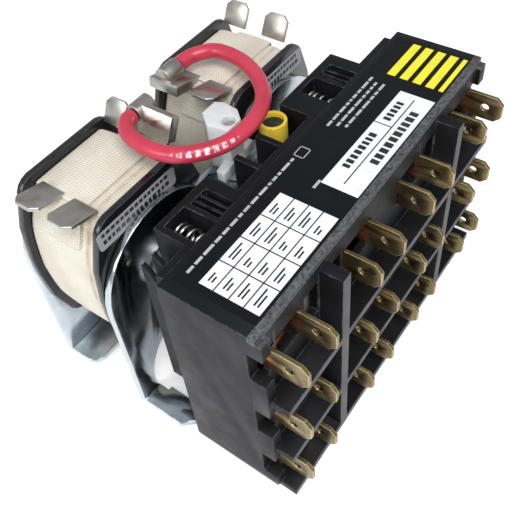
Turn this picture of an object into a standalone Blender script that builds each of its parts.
"""Reversing control relay: two solenoids behind one block of quick-connect contacts.

Lengths below are in millimetres.  X runs along the contact block (0 at its middle),
Y runs backwards from the block's rear face, and Z runs up from the mounting panel.
place() turns these into the part's own frame in metres, whose origin is under the middle
of the whole relay.
"""
import math

import bmesh
import bpy
from mathutils import Matrix, Vector

MM = 0.001
CLEARANCE = 0.3            # gap between pieces that touch or fit
SHEET = 1.5                # steel sheet of both brackets

# Contact block
BLOCK_LENGTH = 86.0
BLOCK_TOP = 57.0           # label face above the panel
BLOCK_DEPTH = 20.5
BLOCK_FLOOR = SHEET + 0.7  # underside of the body, above the bracket's foot
WALL = 2.6                 # end walls
SKIN = 1.6                 # front wall and the ledge over the contacts
END_LIP = 1.2              # how far the end walls stand out in front
FIN_REACH = 5.0            # fins and barriers in front of the front wall
FIN_THICKNESS = 1.8
BARRIER_THICKNESS = 2.6
FIN_CLEAR_OF_PANEL = 0.4

# Poles: three rows of two double-tab terminals for each contactor
ROWS = (47.3, 28.1, 9.7)            # heights of the terminals
FINS = (35.1, 16.4)                 # undersides of the fins between the rows
TERMINAL_OUTER = 35.0               # distance of an outer terminal from the middle
TERMINAL_INNER = 10.5               # distance of an inner terminal from the middle
TAB_WIDTH = 6.35
TAB_THICKNESS = 0.8
TAB_SPACING = 8.8                   # between the two tabs of one terminal
TAB_REACH = 7.9                     # in front of the front wall
TAB_CHAMFER = 1.5
TAB_HOLE = 0.95                     # radius
TAB_HOLE_FROM_TIP = 3.9
BUTTON_RADIUS = 1.5
BUTTON_HEIGHT = 0.6

# Contact gear
TRAVEL = 3.2                # of a carrier and its plunger
OVERTRAVEL = 0.8            # of a carrier after its contacts touch
BRIDGE_HEIGHT = 4.0
BRIDGE_THICKNESS = 1.2
BRIDGE_LENGTH = 12.8
WEB_FRONT = -7.6            # front face of the terminals' webs, which carry the fixed contacts
CONTACT_GAP = 0.1           # left between a closed bridge and its fixed contacts
STEM_WIDTH = 4.6
SPRING_SPACE = 3.9          # for a contact spring, in front of its bridge
STEM_WALL = 1.4             # in front of the springs
PAD_STEP = 0.6              # from the webs' rear face back to the carrier's pad
PAD_THICKNESS = 2.6
SPRING_SIDES = 1            # bevel resolution of the springs
SPRING_STEPS = 10           # points in a turn

# Solenoids
COIL_PITCH = 42.4
COIL_MIDDLE = -5.2          # the pair stands off the middle of the block
COIL_HEIGHT = 35.5          # axis above the panel
FLANGE_HALF_WIDTH = 16.8
FLANGE_HALF_HEIGHT = 22.0
FLANGE_THICKNESS = 1.6
PLATE_FRONT = 15.8          # front face of the front bracket
WINDING_LENGTH = 19.6
WINDING_MARGIN = 1.7        # the flanges stand out past the tape
PLUNGER_RADIUS = 5.8
PLUNGER_GAP = 0.4           # round the plunger, in the bore of its bobbin
TUBE_WALL = 1.4
CORE_LENGTH = 9.0
RIVET_RADIUS = 4.0
HUMP_RADIUS = 17.2
HUMP_SHOULDER = 45.0        # where the humps meet the level edge between them, in degrees
COIL_TAB_WIDTH = 6.35
COIL_TAB_THICKNESS = 0.8

FOOT_FRONT = -14.0          # end of the front bracket's foot, under the block
REAR_FOOT = 10.0
BRACKET_MARGIN = 0.4

# Small pieces
GUIDE_LEFT = (6.4, 7.6)     # how far the guides reach to each side of their coils
GUIDE_REAR = 9.6
GUIDE_PLATES = (-35.7, -38.6)    # sloped plates beside the left guide
GUIDE_PLATE = 1.2           # thickness
GUIDE_RIBS = (1.3, 2.9)     # in the slot of a guide, from the slot's left side
GUIDE_RIB = 0.6             # thickness
SLOT_WIDTH = 4.6
GUIDE_RIGHT = (9.6, 13.2)
COIL_TAB_LENGTH = 5.6
RECEPTACLE_START = 1.4      # along the tab
TAB_ROOT = 2.4
TAB_ROOT_UPRIGHT = 0.3
TAB_ROOT_INSET = 3.6
TAB_LIFT = 0.5
LOW_TILT = 14.0             # of the tabs on a coil's left side, in degrees
HIGH_TILT = 62.0            # of the tabs on its right side
BARREL_LENGTH = 4.8
BARREL_RADIUS = 2.15

FOOT_EDGE = 2.0
TONGUE = 16.0
OPENING_HEIGHT = 5.0
OPENING_RADIUS = 12.6
SHELF_TOP = 44.5
SHELF_FRONT = 10.2
SHELF_LEFT = -10.5
SHELF_RIGHT = 8.2

PIN_RADIUS = 1.2
PAWL_X = -4.6
PAWL_Y = 13.0
PAWL_STEP = 48.4
PAWL_TOP = 59.5
PAWL_ARM = 6.4
PAWL_HEAD = ((-2.6, -1.8), (1.6, -1.9), (3.8, 0.6), (4.3, 4.2), (3.4, 6.2), (-0.8, 6.3), (-3.4, 3.0))

SLEEVE_X = 4.6
SLEEVE_Y = 8.8
SLEEVE_RADIUS = 3.1
SLEEVE_WALL = 0.7
SLEEVE_TOP = 54.8

JUMPER_RADIUS = 1.7
JUMPER = (
    (4.2, 33.4, 60.3), (5.6, 33.3, 60.4), (8.8, 32.2, 60.6), (11.8, 28.6, 61.0), (11.6, 22.3, 61.2),
    (9.1, 16.3, 61.5), (5.5, 11.7, 61.8), (1.9, 8.8, 62.0), (-2.9, 6.9, 62.2), (-7.8, 6.3, 62.4),
    (-12.7, 7.0, 62.5), (-16.5, 9.1, 62.5), (-19.4, 12.2, 62.4), (-21.0, 16.0, 62.2),
    (-21.2, 20.6, 62.0), (-20.3, 25.0, 61.9), (-18.6, 27.8, 61.8), (-16.9, 29.0, 61.7), (-15.4, 29.3, 61.6))

# Values that follow
BORE_RADIUS = PLUNGER_RADIUS + PLUNGER_GAP
FLANGE_FRONT = PLATE_FRONT + SHEET + CLEARANCE
WINDING_FRONT = FLANGE_FRONT + FLANGE_THICKNESS
WINDING_REAR = WINDING_FRONT + WINDING_LENGTH
FLANGE_REAR = WINDING_REAR + FLANGE_THICKNESS
REAR_SHEET = FLANGE_REAR + CLEARANCE
TAB_REAR = WINDING_REAR - 5.8
TAB_REAR_UPRIGHT = WINDING_REAR - 3.5
TAB_FRONT = WINDING_FRONT + 4.9
BACK = REAR_SHEET + SHEET
FRONT_WALL = -BLOCK_DEPTH
TAB_TIP = FRONT_WALL - TAB_REACH
FIN_EDGE = FRONT_WALL - FIN_REACH
CHAMBER_FRONT = FRONT_WALL + SKIN
COILS = (COIL_MIDDLE - COIL_PITCH / 2, COIL_MIDDLE + COIL_PITCH / 2)
POLE = (TERMINAL_OUTER + TERMINAL_INNER) / 2
POLES = (-POLE, POLE)
NAMES = ("forward", "reverse")
SPRING_HEIGHT = BLOCK_TOP - SKIN - 3.5
BRIDGE_FACE = WEB_FRONT - BUTTON_HEIGHT * 2 - (TRAVEL - OVERTRAVEL) - CONTACT_GAP
WINDOW_FRONT = BRIDGE_FACE - BRIDGE_THICKNESS - SPRING_SPACE
STEM_FRONT = WINDOW_FRONT - STEM_WALL
STEM_REAR = WEB_FRONT + TAB_THICKNESS + PAD_STEP
CARRIER_REAR = STEM_REAR + PAD_THICKNESS
LEFT_TAB_TIP = (COILS[0] - (FLANGE_HALF_WIDTH - WINDING_MARGIN - TAB_ROOT_INSET)
                - COIL_TAB_LENGTH * math.cos(math.radians(LOW_TILT)))
LEFT = min(-BLOCK_LENGTH / 2, LEFT_TAB_TIP)
RIGHT = max(BLOCK_LENGTH / 2, COILS[1] + FLANGE_HALF_WIDTH)
ORIGIN = Vector(((LEFT + RIGHT) / 2, (TAB_TIP + BACK) / 2, 0.0))


def place(x, y, z):
    """A point given in millimetres, in the part's frame."""
    return (Vector((x, y, z)) - ORIGIN) * MM


def clear_scene():
    for item in list(bpy.data.objects):
        bpy.data.objects.remove(item, do_unlink=True)


def collection(name):
    made = bpy.data.collections.new(name)
    bpy.context.scene.collection.children.link(made)
    return made


def material(name, colour, roughness, metallic=0.0):
    made = bpy.data.materials.new(name)
    made.use_nodes = True
    shader = made.node_tree.nodes["Principled BSDF"]
    shader.inputs["Base Color"].default_value = (*colour, 1.0)
    shader.inputs["Roughness"].default_value = roughness
    shader.inputs["Metallic"].default_value = metallic
    return made


def add(name, mesh, made_of, target=None):
    """An object for a mesh, in the relay's collection."""
    item = bpy.data.objects.new(name, mesh)
    (target or PARTS).objects.link(item)
    if made_of:
        mesh.materials.clear()
        mesh.materials.append(made_of)
    return item


def box_mesh(name, low, high):
    low = place(*low)
    high = place(*high)
    mesh = bpy.data.meshes.new(name)
    shape = bmesh.new()
    middle = (low + high) / 2
    size = high - low
    matrix = Matrix.Translation(middle) @ Matrix.Diagonal((*size, 1.0))
    bmesh.ops.create_cube(shape, size=1.0, matrix=matrix)
    shape.to_mesh(mesh)
    shape.free()
    return mesh


def box(name, low, high, made_of=None, target=None):
    return add(name, box_mesh(name, low, high), made_of, target)


AXES = {
    "x": Matrix.Rotation(math.radians(90), 4, "Y"),
    "y": Matrix.Rotation(math.radians(-90), 4, "X"),
    "z": Matrix.Identity(4),
}


def rod_mesh(name, axis, start, length, radius, sides=24, tip_radius=None):
    """A cylinder or cone that runs from start along a positive axis."""
    tip = radius if tip_radius is None else tip_radius
    mesh = bpy.data.meshes.new(name)
    shape = bmesh.new()
    bmesh.ops.create_cone(
        shape, cap_ends=True, segments=sides, radius1=radius * MM, radius2=tip * MM, depth=length * MM,
        matrix=Matrix.Translation(place(*start)) @ AXES[axis]
        @ Matrix.Translation((0, 0, length * MM / 2)))
    shape.to_mesh(mesh)
    shape.free()
    return mesh


def rod(name, axis, start, length, radius, made_of=None, target=None, sides=24, tip_radius=None):
    item = add(name, rod_mesh(name, axis, start, length, radius, sides, tip_radius), made_of, target)
    item.data.shade_smooth()
    item.data.set_sharp_from_angle(angle=math.radians(40))
    return item


def plate_mesh(name, outline, axis, start, thickness):
    """A flat outline made solid along +X, +Y or +Z.

    The outline's points are (x, z) for a plate across Y, (x, y) across Z and (y, z) across X.
    """
    def point(first, second, along):
        if axis == "y":
            return place(first, along, second)
        if axis == "z":
            return place(first, second, along)
        return place(along, first, second)

    mesh = bpy.data.meshes.new(name)
    shape = bmesh.new()
    corners = [shape.verts.new(point(a, b, start)) for a, b in outline]
    face = shape.faces.new(corners)
    grown = bmesh.ops.extrude_face_region(shape, geom=[face])
    top = [v for v in grown["geom"] if isinstance(v, bmesh.types.BMVert)]
    shift = point(0, 0, start + thickness) - point(0, 0, start)
    bmesh.ops.translate(shape, vec=shift, verts=top)
    bmesh.ops.recalc_face_normals(shape, faces=shape.faces)
    shape.to_mesh(mesh)
    shape.free()
    return mesh


def plate(name, outline, axis, start, thickness, made_of=None, target=None):
    return add(name, plate_mesh(name, outline, axis, start, thickness), made_of, target)


def arc(centre, radius, first, last, steps):
    """Points of an arc, with the angles in degrees."""
    points = []
    for step in range(steps + 1):
        angle = math.radians(first + (last - first) * step / steps)
        points.append((centre[0] + radius * math.cos(angle), centre[1] + radius * math.sin(angle)))
    return points


def combine(item, tool, operation):
    """Join a helper to an object or cut it out of it, and keep the helper with the cutters."""
    tool.hide_render = True
    tool.display_type = "WIRE"
    for owner in list(tool.users_collection):
        owner.objects.unlink(tool)
    CUTTERS.objects.link(tool)
    step = item.modifiers.new(operation.lower(), "BOOLEAN")
    step.operation = operation
    step.solver = "EXACT"
    step.object = tool


def cut(item, tool):
    combine(item, tool, "DIFFERENCE")


def join(item, tool):
    combine(item, tool, "UNION")


def cut_box(item, low, high):
    cut(item, box(item.name + "_cut", low, high))


def join_box(item, low, high):
    join(item, box(item.name + "_join", low, high))


def cut_rod(item, axis, start, length, radius, sides=24):
    cut(item, rod(item.name + "_cut", axis, start, length, radius, sides=sides))


def join_rod(item, axis, start, length, radius, sides=24):
    join(item, rod(item.name + "_join", axis, start, length, radius, sides=sides))


def wire(name, points, radius, made_of, resolution=2):
    """A round wire through points in millimetres, as a mesh with closed ends."""
    curve = bpy.data.curves.new(name, "CURVE")
    curve.dimensions = "3D"
    curve.bevel_depth = radius * MM
    curve.bevel_resolution = resolution
    curve.use_fill_caps = True
    spline = curve.splines.new("POLY")
    spline.points.add(len(points) - 1)
    for target, point in zip(spline.points, points):
        target.co = (*place(*point), 1.0)
    item = bpy.data.objects.new(name, curve)
    PARTS.objects.link(item)
    curve.materials.append(made_of)
    return item


def coil_spring(name, centre, length, radius, turns, gauge, made_of):
    """A helical spring along +Y from its front end."""
    per_turn = SPRING_STEPS
    count = int(turns * per_turn)
    points = []
    for step in range(count + 1):
        angle = 2 * math.pi * step / per_turn
        along = gauge + (length - 2 * gauge) * step / count
        points.append((centre[0] + radius * math.cos(angle), centre[1] + along,
                       centre[2] + radius * math.sin(angle)))
    return wire(name, points, gauge, made_of, SPRING_SIDES)


# ---------------------------------------------------------------- contact block

def contact_block():
    half = BLOCK_LENGTH / 2
    block = box("contact_block", (-half, FRONT_WALL, BLOCK_FLOOR), (half, 0, BLOCK_TOP), BLACK)
    # end walls stand out in front of the terminals
    for side in (-1, 1):
        inner = side * (half - WALL)
        low, high = sorted((side * half, inner))
        join_box(block, (low, FRONT_WALL - END_LIP, BLOCK_FLOOR), (high, FRONT_WALL + 1, BLOCK_TOP - 1.2))
    # one chamber for each contactor, open at the back
    for side in (-1, 1):
        low, high = sorted((side * 1.0, side * (half - WALL)))
        cut_box(block, (low, CHAMBER_FRONT, BLOCK_FLOOR + SKIN), (high, 2, BLOCK_TOP - SKIN - 0.6))
    # fins between and under the rows, and the barriers between the terminals of a pole
    bottom = FIN_CLEAR_OF_PANEL
    for under in (*FINS, bottom):
        join_box(block, (-half + 1.0, FIN_EDGE, under), (half - 1.0, FRONT_WALL + 0.8, under + FIN_THICKNESS))
    join_box(block, (-half + 1.0, FRONT_WALL, bottom), (half - 1.0, FRONT_WALL + 1.2, BLOCK_FLOOR + 1.0))
    for side in (-1, 1):
        middle = side * POLE
        join_box(block, (middle - BARRIER_THICKNESS / 2, FIN_EDGE, bottom),
                 (middle + BARRIER_THICKNESS / 2, FRONT_WALL + 0.8, BLOCK_TOP - 2.4))
    # windows: one for each terminal's pair of tabs, and one on each side of a barrier
    half_tab = TAB_WIDTH / 2 + CLEARANCE
    reach = TAB_SPACING / 2 + TAB_THICKNESS / 2 + CLEARANCE
    for height in ROWS:
        for side in (-1, 1):
            for distance in (TERMINAL_OUTER, TERMINAL_INNER):
                x = side * distance
                cut_box(block, (x - reach, FRONT_WALL - 1, height - half_tab),
                        (x + reach, CHAMBER_FRONT + 1, height + half_tab))
            gap = POLE - TERMINAL_INNER - reach - 0.9
            for towards in (-1, 1):
                low, high = sorted((side * POLE + towards * (BARRIER_THICKNESS / 2 + 0.3), side * POLE + towards * gap))
                cut_box(block, (low, FRONT_WALL - 1, height - half_tab - 0.8),
                        (high, CHAMBER_FRONT + 1, height + half_tab + 0.8))
        # notches in the end walls, level with the tabs
        for side in (-1, 1):
            low, high = sorted((side * (half + 1), side * (half - WALL - 0.8)))
            cut_box(block, (low, FRONT_WALL - END_LIP - 1, height - 4.1), (high, FRONT_WALL + 2.2, height + 4.1))
    return block


def rear_cover():
    """The moulding behind the block that guides the carriers and holds the return springs."""
    half = BLOCK_LENGTH / 2 - WALL + 0.4
    low_z = 5.0
    cover = box("rear_cover", (-half, CLEARANCE, low_z), (half, CLEARANCE + 1.8, BLOCK_TOP - 1.0), BLACK)
    for x, left, right in zip(COILS, GUIDE_LEFT, GUIDE_RIGHT):
        join_box(cover, (x - left, CLEARANCE + 1, 12.0), (x + right, GUIDE_REAR, BLOCK_TOP - 1.0))
    slope = [(GUIDE_REAR - 1, BLOCK_TOP - 5), (CLEARANCE + 1, BLOCK_TOP - 12.5), (CLEARANCE + 1, 14), (GUIDE_REAR - 1, 14)]
    for x in GUIDE_PLATES:
        join(cover, plate("guide_plate", slope, "x", x, GUIDE_PLATE))
    for x in (-9.0, -1.5):
        join_box(cover, (x - 0.7, CLEARANCE + 1, 14.0), (x + 0.7, 8.5, BLOCK_TOP - 1.6))
    for x, pole in zip(COILS, POLES):
        toward = min(x, pole)
        away = max(x, pole)
        # guide bore of the plunger, and the well that the carrier moves in
        cut_rod(cover, "y", (x, -2, COIL_HEIGHT), 14, PLUNGER_RADIUS + 0.5)
        cut_box(cover, (toward - 7.7, -1, 30.0), (away + 6.7, 8.0, 41.0))
        # pocket of the return spring, open at the top
        cut_box(cover, (pole - 8.6, -1, SPRING_HEIGHT - 3.2), (pole - 2.8, 8.2, BLOCK_TOP + 1))
        # slot with ribs in the top
        slot = pole - 1.6
        cut_box(cover, (slot, CLEARANCE + 0.6, BLOCK_TOP - 6), (slot + SLOT_WIDTH, GUIDE_REAR - 2, BLOCK_TOP + 1))
        for rib in GUIDE_RIBS:
            join_box(cover, (slot + rib, CLEARANCE + 0.2, BLOCK_TOP - 6.4),
                     (slot + rib + GUIDE_RIB, GUIDE_REAR - 1.6, BLOCK_TOP - 1.6))
    return cover


# ---------------------------------------------------------------- terminals and contacts

def terminal(name, x, toward, height):
    """A double tab on one web, with the fixed contact on the web's arm toward the pole's middle."""
    half = TAB_WIDTH / 2
    tip = [(TAB_TIP + TAB_CHAMFER, height - half), (TAB_TIP, height - half + TAB_CHAMFER),
           (TAB_TIP, height + half - TAB_CHAMFER), (TAB_TIP + TAB_CHAMFER, height + half)]
    root = [(WEB_FRONT + TAB_THICKNESS, height + half), (WEB_FRONT + TAB_THICKNESS, height - half)]
    blades = [x - TAB_SPACING / 2 - TAB_THICKNESS / 2, x + TAB_SPACING / 2 - TAB_THICKNESS / 2]
    item = plate(name, tip + root, "x", blades[0], TAB_THICKNESS, BRASS)
    join(item, plate(name + "_join", tip + root, "x", blades[1], TAB_THICKNESS))
    pole = x + toward * (TERMINAL_OUTER - TERMINAL_INNER) / 2
    arm_end = pole - toward * (STEM_WIDTH / 2 + 0.9)
    low, high = sorted((x - toward * TAB_SPACING / 2, arm_end))
    join_box(item, (low, WEB_FRONT, height - half), (high, WEB_FRONT + TAB_THICKNESS, height + half))
    contact = pole - toward * (BRIDGE_LENGTH / 2 - BUTTON_RADIUS - 0.2)
    join_rod(item, "y", (contact, WEB_FRONT - BUTTON_HEIGHT, height), BUTTON_HEIGHT + 0.3, BUTTON_RADIUS, 16)
    cut_rod(item, "x", (blades[0] - 1, TAB_TIP + TAB_HOLE_FROM_TIP, height), TAB_SPACING + 3, TAB_HOLE, 12)
    return item


def bridge(name, pole, height):
    """A moving contact bar with a contact at each end."""
    half = BRIDGE_LENGTH / 2
    item = box(name, (pole - half, BRIDGE_FACE - BRIDGE_THICKNESS, height - BRIDGE_HEIGHT / 2),
               (pole + half, BRIDGE_FACE, height + BRIDGE_HEIGHT / 2), COPPER)
    for side in (-1, 1):
        x = pole + side * (half - BUTTON_RADIUS - 0.2)
        join_rod(item, "y", (x, BRIDGE_FACE - 0.3, height), BUTTON_HEIGHT + 0.3, BUTTON_RADIUS, 16)
    return item


def carrier(name, pole, coil):
    """The moulded bar that carries three bridges, with a slotted pad for the plunger."""
    half = STEM_WIDTH / 2
    top = ROWS[0] + BRIDGE_HEIGHT / 2 + 1.8
    item = box(name, (pole - half, STEM_FRONT, ROWS[2] - 4.6), (pole + half, STEM_REAR, top), CREAM)
    low = min(pole - 6, coil - 5)
    high = max(pole + 4, coil + 5)
    join_box(item, (low, STEM_REAR - 0.4, COIL_HEIGHT - 4.6), (high, CARRIER_REAR, COIL_HEIGHT + 4.6))
    # arm under the return spring, at the top of the stem
    join_box(item, (pole - half, STEM_REAR - 0.4, COIL_HEIGHT), (pole + half, CARRIER_REAR, SPRING_HEIGHT + 2.4))
    join_box(item, (pole - 8.2, STEM_REAR + 0.1, SPRING_HEIGHT - 2.6), (pole + half, CARRIER_REAR, SPRING_HEIGHT + 2.4))
    for height in ROWS:
        cut_box(item, (pole - half - 1, WINDOW_FRONT, height - BRIDGE_HEIGHT / 2 - CLEARANCE),
                (pole + half + 1, BRIDGE_FACE + CLEARANCE, height + BRIDGE_HEIGHT / 2 + CLEARANCE))
    # keyhole for the plunger's neck
    cut_box(item, (coil - 2.6, STEM_REAR + 0.1, COIL_HEIGHT - 6), (coil + 2.6, CARRIER_REAR + 1, COIL_HEIGHT + 2.6))
    return item


def plunger(name, coil):
    """The moving iron: a round bar with a necked head in the carrier's keyhole."""
    rear = WINDING_REAR - CORE_LENGTH + FLANGE_THICKNESS - TRAVEL - 0.6
    front = CARRIER_REAR + CLEARANCE
    item = rod(name, "y", (coil, front, COIL_HEIGHT), rear - front, PLUNGER_RADIUS, IRON, sides=32)
    join_rod(item, "y", (coil, STEM_REAR + 0.5, COIL_HEIGHT), front - STEM_REAR, 2.2, 16)
    return item


# ---------------------------------------------------------------- solenoids

def flange_outline(coil, margin=0.0):
    """A rounded barrel outline: bowed sides, level top and bottom, round corners."""
    wide = FLANGE_HALF_WIDTH - margin
    tall = FLANGE_HALF_HEIGHT - margin
    shoulder = wide - 3.2
    corner = 4.5
    points = []
    for sx, sz, first in ((1, 1, 0), (-1, 1, 90), (-1, -1, 180), (1, -1, 270)):
        turn = arc((sx * (shoulder - corner), sz * (tall - corner)), corner, first + 8, first + 82, 4)
        side = [(sx * wide, sz * tall * 0.12), (sx * (wide - 1.0), sz * tall * 0.52)]
        points += side + turn if sx * sz > 0 else turn + side[::-1]
    return [(coil + x, COIL_HEIGHT + z) for x, z in points]


def bobbin(name, coil):
    outline = flange_outline(coil)
    item = plate(name, outline, "y", FLANGE_FRONT, FLANGE_THICKNESS, GLOSS)
    join(item, plate(name + "_join", outline, "y", WINDING_REAR, FLANGE_THICKNESS))
    length = FLANGE_REAR - FLANGE_FRONT
    join_rod(item, "y", (coil, FLANGE_FRONT + 0.2, COIL_HEIGHT), length - 0.4, BORE_RADIUS + TUBE_WALL, 32)
    cut_rod(item, "y", (coil, FLANGE_FRONT - 2, COIL_HEIGHT), length + 4, BORE_RADIUS, 32)
    return item


def winding(name, coil):
    length = WINDING_LENGTH - 2 * CLEARANCE
    item = plate(name, flange_outline(coil, WINDING_MARGIN), "y", WINDING_FRONT + CLEARANCE, length, TAPE)
    hole = BORE_RADIUS + TUBE_WALL + CLEARANCE
    cut_rod(item, "y", (coil, WINDING_FRONT - 2, COIL_HEIGHT), WINDING_LENGTH + 4, hole, 32)
    return item


def core(name, coil):
    """The fixed pole piece, riveted through the rear sheet."""
    front = FLANGE_REAR - CORE_LENGTH
    item = rod(name, "y", (coil, front, COIL_HEIGHT), CORE_LENGTH, BORE_RADIUS - CLEARANCE, IRON, sides=32)
    join_rod(item, "y", (coil, FLANGE_REAR - 0.5, COIL_HEIGHT), BACK - FLANGE_REAR + 0.4, RIVET_RADIUS - CLEARANCE)
    return item


def tab_frame(coil, side, along, tilt):
    """Where a coil terminal leaves the winding's upper corner: X along the blade, Z across it."""
    x = coil + side * (FLANGE_HALF_WIDTH - WINDING_MARGIN - TAB_ROOT_INSET)
    z = COIL_HEIGHT + FLANGE_HALF_HEIGHT - WINDING_MARGIN + CLEARANCE + TAB_LIFT
    turn = Matrix.Rotation(-math.radians(tilt), 4, "Y")
    if side < 0:
        turn = Matrix.Rotation(math.pi, 4, "Z") @ turn
    return Matrix.Translation(place(x, along, z)) @ turn


def local_plate(name, outline, low, high, frame, made_of=None):
    """A flat outline in a tilted frame, solid from low to high along that frame's Z."""
    mesh = bpy.data.meshes.new(name)
    shape = bmesh.new()
    face = shape.faces.new([shape.verts.new((a * MM, b * MM, low * MM)) for a, b in outline])
    grown = bmesh.ops.extrude_face_region(shape, geom=[face])
    top = [v for v in grown["geom"] if isinstance(v, bmesh.types.BMVert)]
    bmesh.ops.translate(shape, vec=(0, 0, (high - low) * MM), verts=top)
    bmesh.ops.transform(shape, matrix=frame, verts=shape.verts)
    bmesh.ops.recalc_face_normals(shape, faces=shape.faces)
    shape.to_mesh(mesh)
    shape.free()
    return add(name, mesh, made_of)


def rectangle(x0, x1, half):
    return [(x0, -half), (x1, -half), (x1, half), (x0, half)]


def coil_tab(name, coil, side, along, tilt):
    """A coil terminal that leaves the edge of the tape and turns out past it."""
    half = COIL_TAB_WIDTH / 2
    tip = COIL_TAB_LENGTH
    root = TAB_ROOT if tilt < 45 else TAB_ROOT_UPRIGHT
    outline = [(-root, -half), (tip - 1.3, -half), (tip, -half + 1.3),
               (tip, half - 1.3), (tip - 1.3, half), (-root, half)]
    return local_plate(name, outline, 0, COIL_TAB_THICKNESS, tab_frame(coil, side, along, tilt), TIN)


def receptacle(name, coil, side, along, tilt, barrel, barrel_radius):
    """A push-on receptacle over a coil tab, with the barrel that grips the jumper."""
    frame = tab_frame(coil, side, along, tilt)
    half = COIL_TAB_WIDTH / 2 + CLEARANCE
    item = local_plate(name, rectangle(RECEPTACLE_START, COIL_TAB_LENGTH + 1.2, half + 0.5), -0.8,
                       COIL_TAB_THICKNESS + 0.8, frame, TIN)
    slot = local_plate(name + "_cut", rectangle(RECEPTACLE_START - 1, COIL_TAB_LENGTH + CLEARANCE, half), -CLEARANCE,
                       COIL_TAB_THICKNESS + CLEARANCE, frame)
    join_rod(item, "x", barrel, BARREL_LENGTH, barrel_radius, 20)
    cut(item, slot)
    return item


# ---------------------------------------------------------------- brackets

def hump_outline(radius, left, right, low, corner):
    """Two round humps, one before each coil, on legs that run straight down to low."""
    outline = [(left, low)]
    outline += arc((COILS[0], COIL_HEIGHT), radius, 180, corner, 12)
    outline += arc((COILS[1], COIL_HEIGHT), radius, 180 - corner, 0, 12)
    outline += [(right, low)]
    return outline


def front_bracket():
    left = COILS[0] - HUMP_RADIUS
    right = COILS[1] + HUMP_RADIUS
    outline = hump_outline(HUMP_RADIUS, left, right, 0.0, HUMP_SHOULDER)
    item = plate("front_bracket", outline, "y", PLATE_FRONT, SHEET, ZINC)
    rear = PLATE_FRONT + SHEET
    foot = [(left, rear), (left, FOOT_EDGE + 3.0), (left + 3.0, FOOT_EDGE), (-TONGUE, FOOT_EDGE),
            (-TONGUE, FOOT_FRONT), (TONGUE, FOOT_FRONT), (TONGUE, FOOT_EDGE), (right - 3.0, FOOT_EDGE),
            (right, FOOT_EDGE + 3.0), (right, rear)]
    join(item, plate("front_bracket_join", foot, "z", 0.0, SHEET))
    # shelf that carries the interlock's pin and the sleeve
    join_box(item, (SHELF_LEFT, SHELF_FRONT, SHELF_TOP - SHEET), (SHELF_RIGHT, PLATE_FRONT + 0.5, SHELF_TOP))
    for coil in COILS:
        cut_rod(item, "y", (coil, PLATE_FRONT - 3, COIL_HEIGHT), SHEET + 6, BORE_RADIUS, 32)
        # round opening across the bend
        cut_rod(item, "y", (coil, PLATE_FRONT - 3, OPENING_HEIGHT), SHEET + 6, OPENING_RADIUS, 32)
        cut_box(item, (coil - OPENING_RADIUS + 1.5, FOOT_EDGE + 5.0, -1),
                (coil + OPENING_RADIUS - 1.5, rear + 1, SHEET + 1))
    cut_rod(item, "z", (PAWL_X, PAWL_Y, SHELF_TOP - SHEET - 1), SHEET + 2, PIN_RADIUS + CLEARANCE, 16)
    return item


def rear_bracket():
    left = COILS[0] - HUMP_RADIUS + BRACKET_MARGIN
    right = COILS[1] + HUMP_RADIUS - BRACKET_MARGIN
    outline = hump_outline(HUMP_RADIUS - BRACKET_MARGIN, left, right, 0.0, HUMP_SHOULDER)
    item = plate("rear_bracket", outline, "y", REAR_SHEET, SHEET, ZINC)
    front = BACK - REAR_FOOT
    foot = [(left, BACK), (left, front + 3.0), (left + 0.9, front + 0.9), (left + 3.0, front),
            (right - 3.0, front), (right - 0.9, front + 0.9), (right, front + 3.0), (right, BACK)]
    join(item, plate("rear_bracket_join", foot, "z", 0.0, SHEET))
    for coil in COILS:
        cut_rod(item, "y", (coil, REAR_SHEET - 2, COIL_HEIGHT), SHEET + 4, RIVET_RADIUS, 24)
    return item


# ---------------------------------------------------------------- interlock, sleeve and jumper

def interlock_pawl():
    """The nylon pawl between the contactors: a head on a hub that turns on an upright pin."""
    head = [(PAWL_X + a, PAWL_Y + b) for a, b in PAWL_HEAD]
    item = plate("interlock_pawl", head, "z", PAWL_STEP, PAWL_TOP - PAWL_STEP, NYLON)
    hub = SHELF_TOP + CLEARANCE
    join_rod(item, "z", (PAWL_X, PAWL_Y, hub), PAWL_STEP - hub + 1, PIN_RADIUS + 1.3, 24)
    arms = [(PAWL_X - PAWL_ARM, PAWL_Y - 2.6), (PAWL_X - PAWL_ARM, PAWL_Y - 0.6), (PAWL_X, PAWL_Y + 0.8),
            (PAWL_X + 5.2, PAWL_Y + 0.2), (PAWL_X + 5.2, PAWL_Y - 1.4), (PAWL_X, PAWL_Y - 2.0)]
    join(item, plate("interlock_pawl_join", arms, "z", PAWL_STEP, 2.5))
    cut_rod(item, "z", (PAWL_X, PAWL_Y, hub - 1), PAWL_TOP - hub + 2, PIN_RADIUS + CLEARANCE, 16)
    return item


def pivot_pin():
    foot = SHELF_TOP - SHEET
    return rod("pivot_pin", "z", (PAWL_X, PAWL_Y, foot), PAWL_TOP - foot - 1.0, PIN_RADIUS, IRON, sides=16)


def sleeve():
    start = SHELF_TOP + CLEARANCE
    length = SLEEVE_TOP - start
    item = rod("yellow_sleeve", "z", (SLEEVE_X, SLEEVE_Y, start), length, SLEEVE_RADIUS, YELLOW, sides=24)
    cut_rod(item, "z", (SLEEVE_X, SLEEVE_Y, start - 1), length + 2, SLEEVE_RADIUS - SLEEVE_WALL, 20)
    return item


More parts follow.
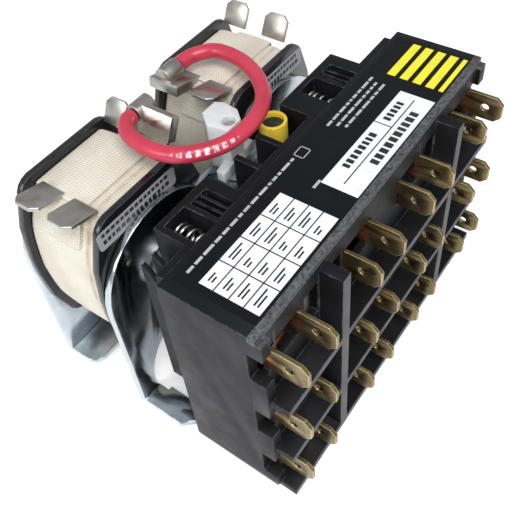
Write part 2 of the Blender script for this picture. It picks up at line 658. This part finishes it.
def smooth_route(points, per_span):
    """Points of a smooth curve through the given ones (Catmull-Rom)."""
    ends = [points[0]] + list(points) + [points[-1]]
    made = []
    for index in range(1, len(ends) - 2):
        a, b, c, d = (Vector(ends[index + k]) for k in (-1, 0, 1, 2))
        for step in range(per_span):
            t = step / per_span
            made.append(0.5 * (2 * b + (c - a) * t + (2 * a - 5 * b + 4 * c - d) * t * t
                               + (3 * b - a - 3 * c + d) * t ** 3))
    made.append(Vector(points[-1]))
    return made


def build():
    contact_block()
    rear_cover()
    for name, side, pole, coil in zip(NAMES, (-1, 1), POLES, COILS):
        for row, height in enumerate(ROWS, start=1):
            terminal(f"terminal_{name}_{row}_outer", side * TERMINAL_OUTER, -side, height)
            terminal(f"terminal_{name}_{row}_inner", side * TERMINAL_INNER, side, height)
            bridge(f"bridge_{name}_{row}", pole, height)
            length = BRIDGE_FACE - BRIDGE_THICKNESS - WINDOW_FRONT - 2 * CLEARANCE
            coil_spring(f"contact_spring_{name}_{row}", (pole, WINDOW_FRONT + CLEARANCE, height),
                        length, 1.35, 3.5, 0.25, STEEL)
        carrier(f"carrier_{name}", pole, coil)
        plunger(f"plunger_{name}", coil)
        spring_start = CARRIER_REAR + CLEARANCE
        coil_spring(f"return_spring_{name}", (pole - 5.7, spring_start, SPRING_HEIGHT),
                    8.2 - CLEARANCE - spring_start, 1.9, 6.5, 0.35, STEEL)
        bobbin(f"bobbin_{name}", coil)
        winding(f"winding_{name}", coil)
        core(f"core_{name}", coil)
        for side, side_name, tilt, rear in ((-1, "left", LOW_TILT, TAB_REAR),
                                            (1, "right", HIGH_TILT, TAB_REAR_UPRIGHT)):
            for along, end in ((TAB_FRONT, "front"), (rear, "rear")):
                coil_tab(f"coil_tab_{name}_{side_name}_{end}", coil, side, along, tilt)
    front_bracket()
    rear_bracket()
    interlock_pawl()
    pivot_pin()
    sleeve()
    start, end = JUMPER[0], JUMPER[-1]
    gap = 2 * CLEARANCE
    receptacle("receptacle_reverse", COILS[1], -1, TAB_REAR, LOW_TILT,
               (start[0] - gap - BARREL_LENGTH, start[1], start[2]), BARREL_RADIUS)
    receptacle("receptacle_forward", COILS[0], 1, TAB_FRONT, HIGH_TILT,
               (end[0] + gap, end[1], end[2]), BARREL_RADIUS)
    wire("jumper_wire", smooth_route(JUMPER, 3), JUMPER_RADIUS, RED)


clear_scene()
PARTS = collection("control_relay")
CUTTERS = collection("cutters")
BLACK = material("black_moulding", (0.018, 0.019, 0.021), 0.55)
GLOSS = material("bobbin_nylon", (0.010, 0.010, 0.011), 0.3)
CREAM = material("carrier_moulding", (0.42, 0.40, 0.37), 0.6)
BRASS = material("brass", (0.46, 0.33, 0.12), 0.35, 1.0)
COPPER = material("copper", (0.55, 0.26, 0.14), 0.3, 1.0)
STEEL = material("spring_steel", (0.55, 0.56, 0.58), 0.3, 1.0)
IRON = material("iron", (0.38, 0.39, 0.41), 0.4, 1.0)
ZINC = material("zinc_plate", (0.52, 0.57, 0.62), 0.25, 1.0)
TAPE = material("cloth_tape", (0.76, 0.72, 0.62), 0.9)
TIN = material("tinned_brass", (0.48, 0.46, 0.42), 0.4, 1.0)
NYLON = material("natural_nylon", (0.80, 0.80, 0.78), 0.45)
YELLOW = material("yellow_tube", (0.80, 0.62, 0.10), 0.4)
RED = material("red_insulation", (0.60, 0.05, 0.08), 0.4)
build()
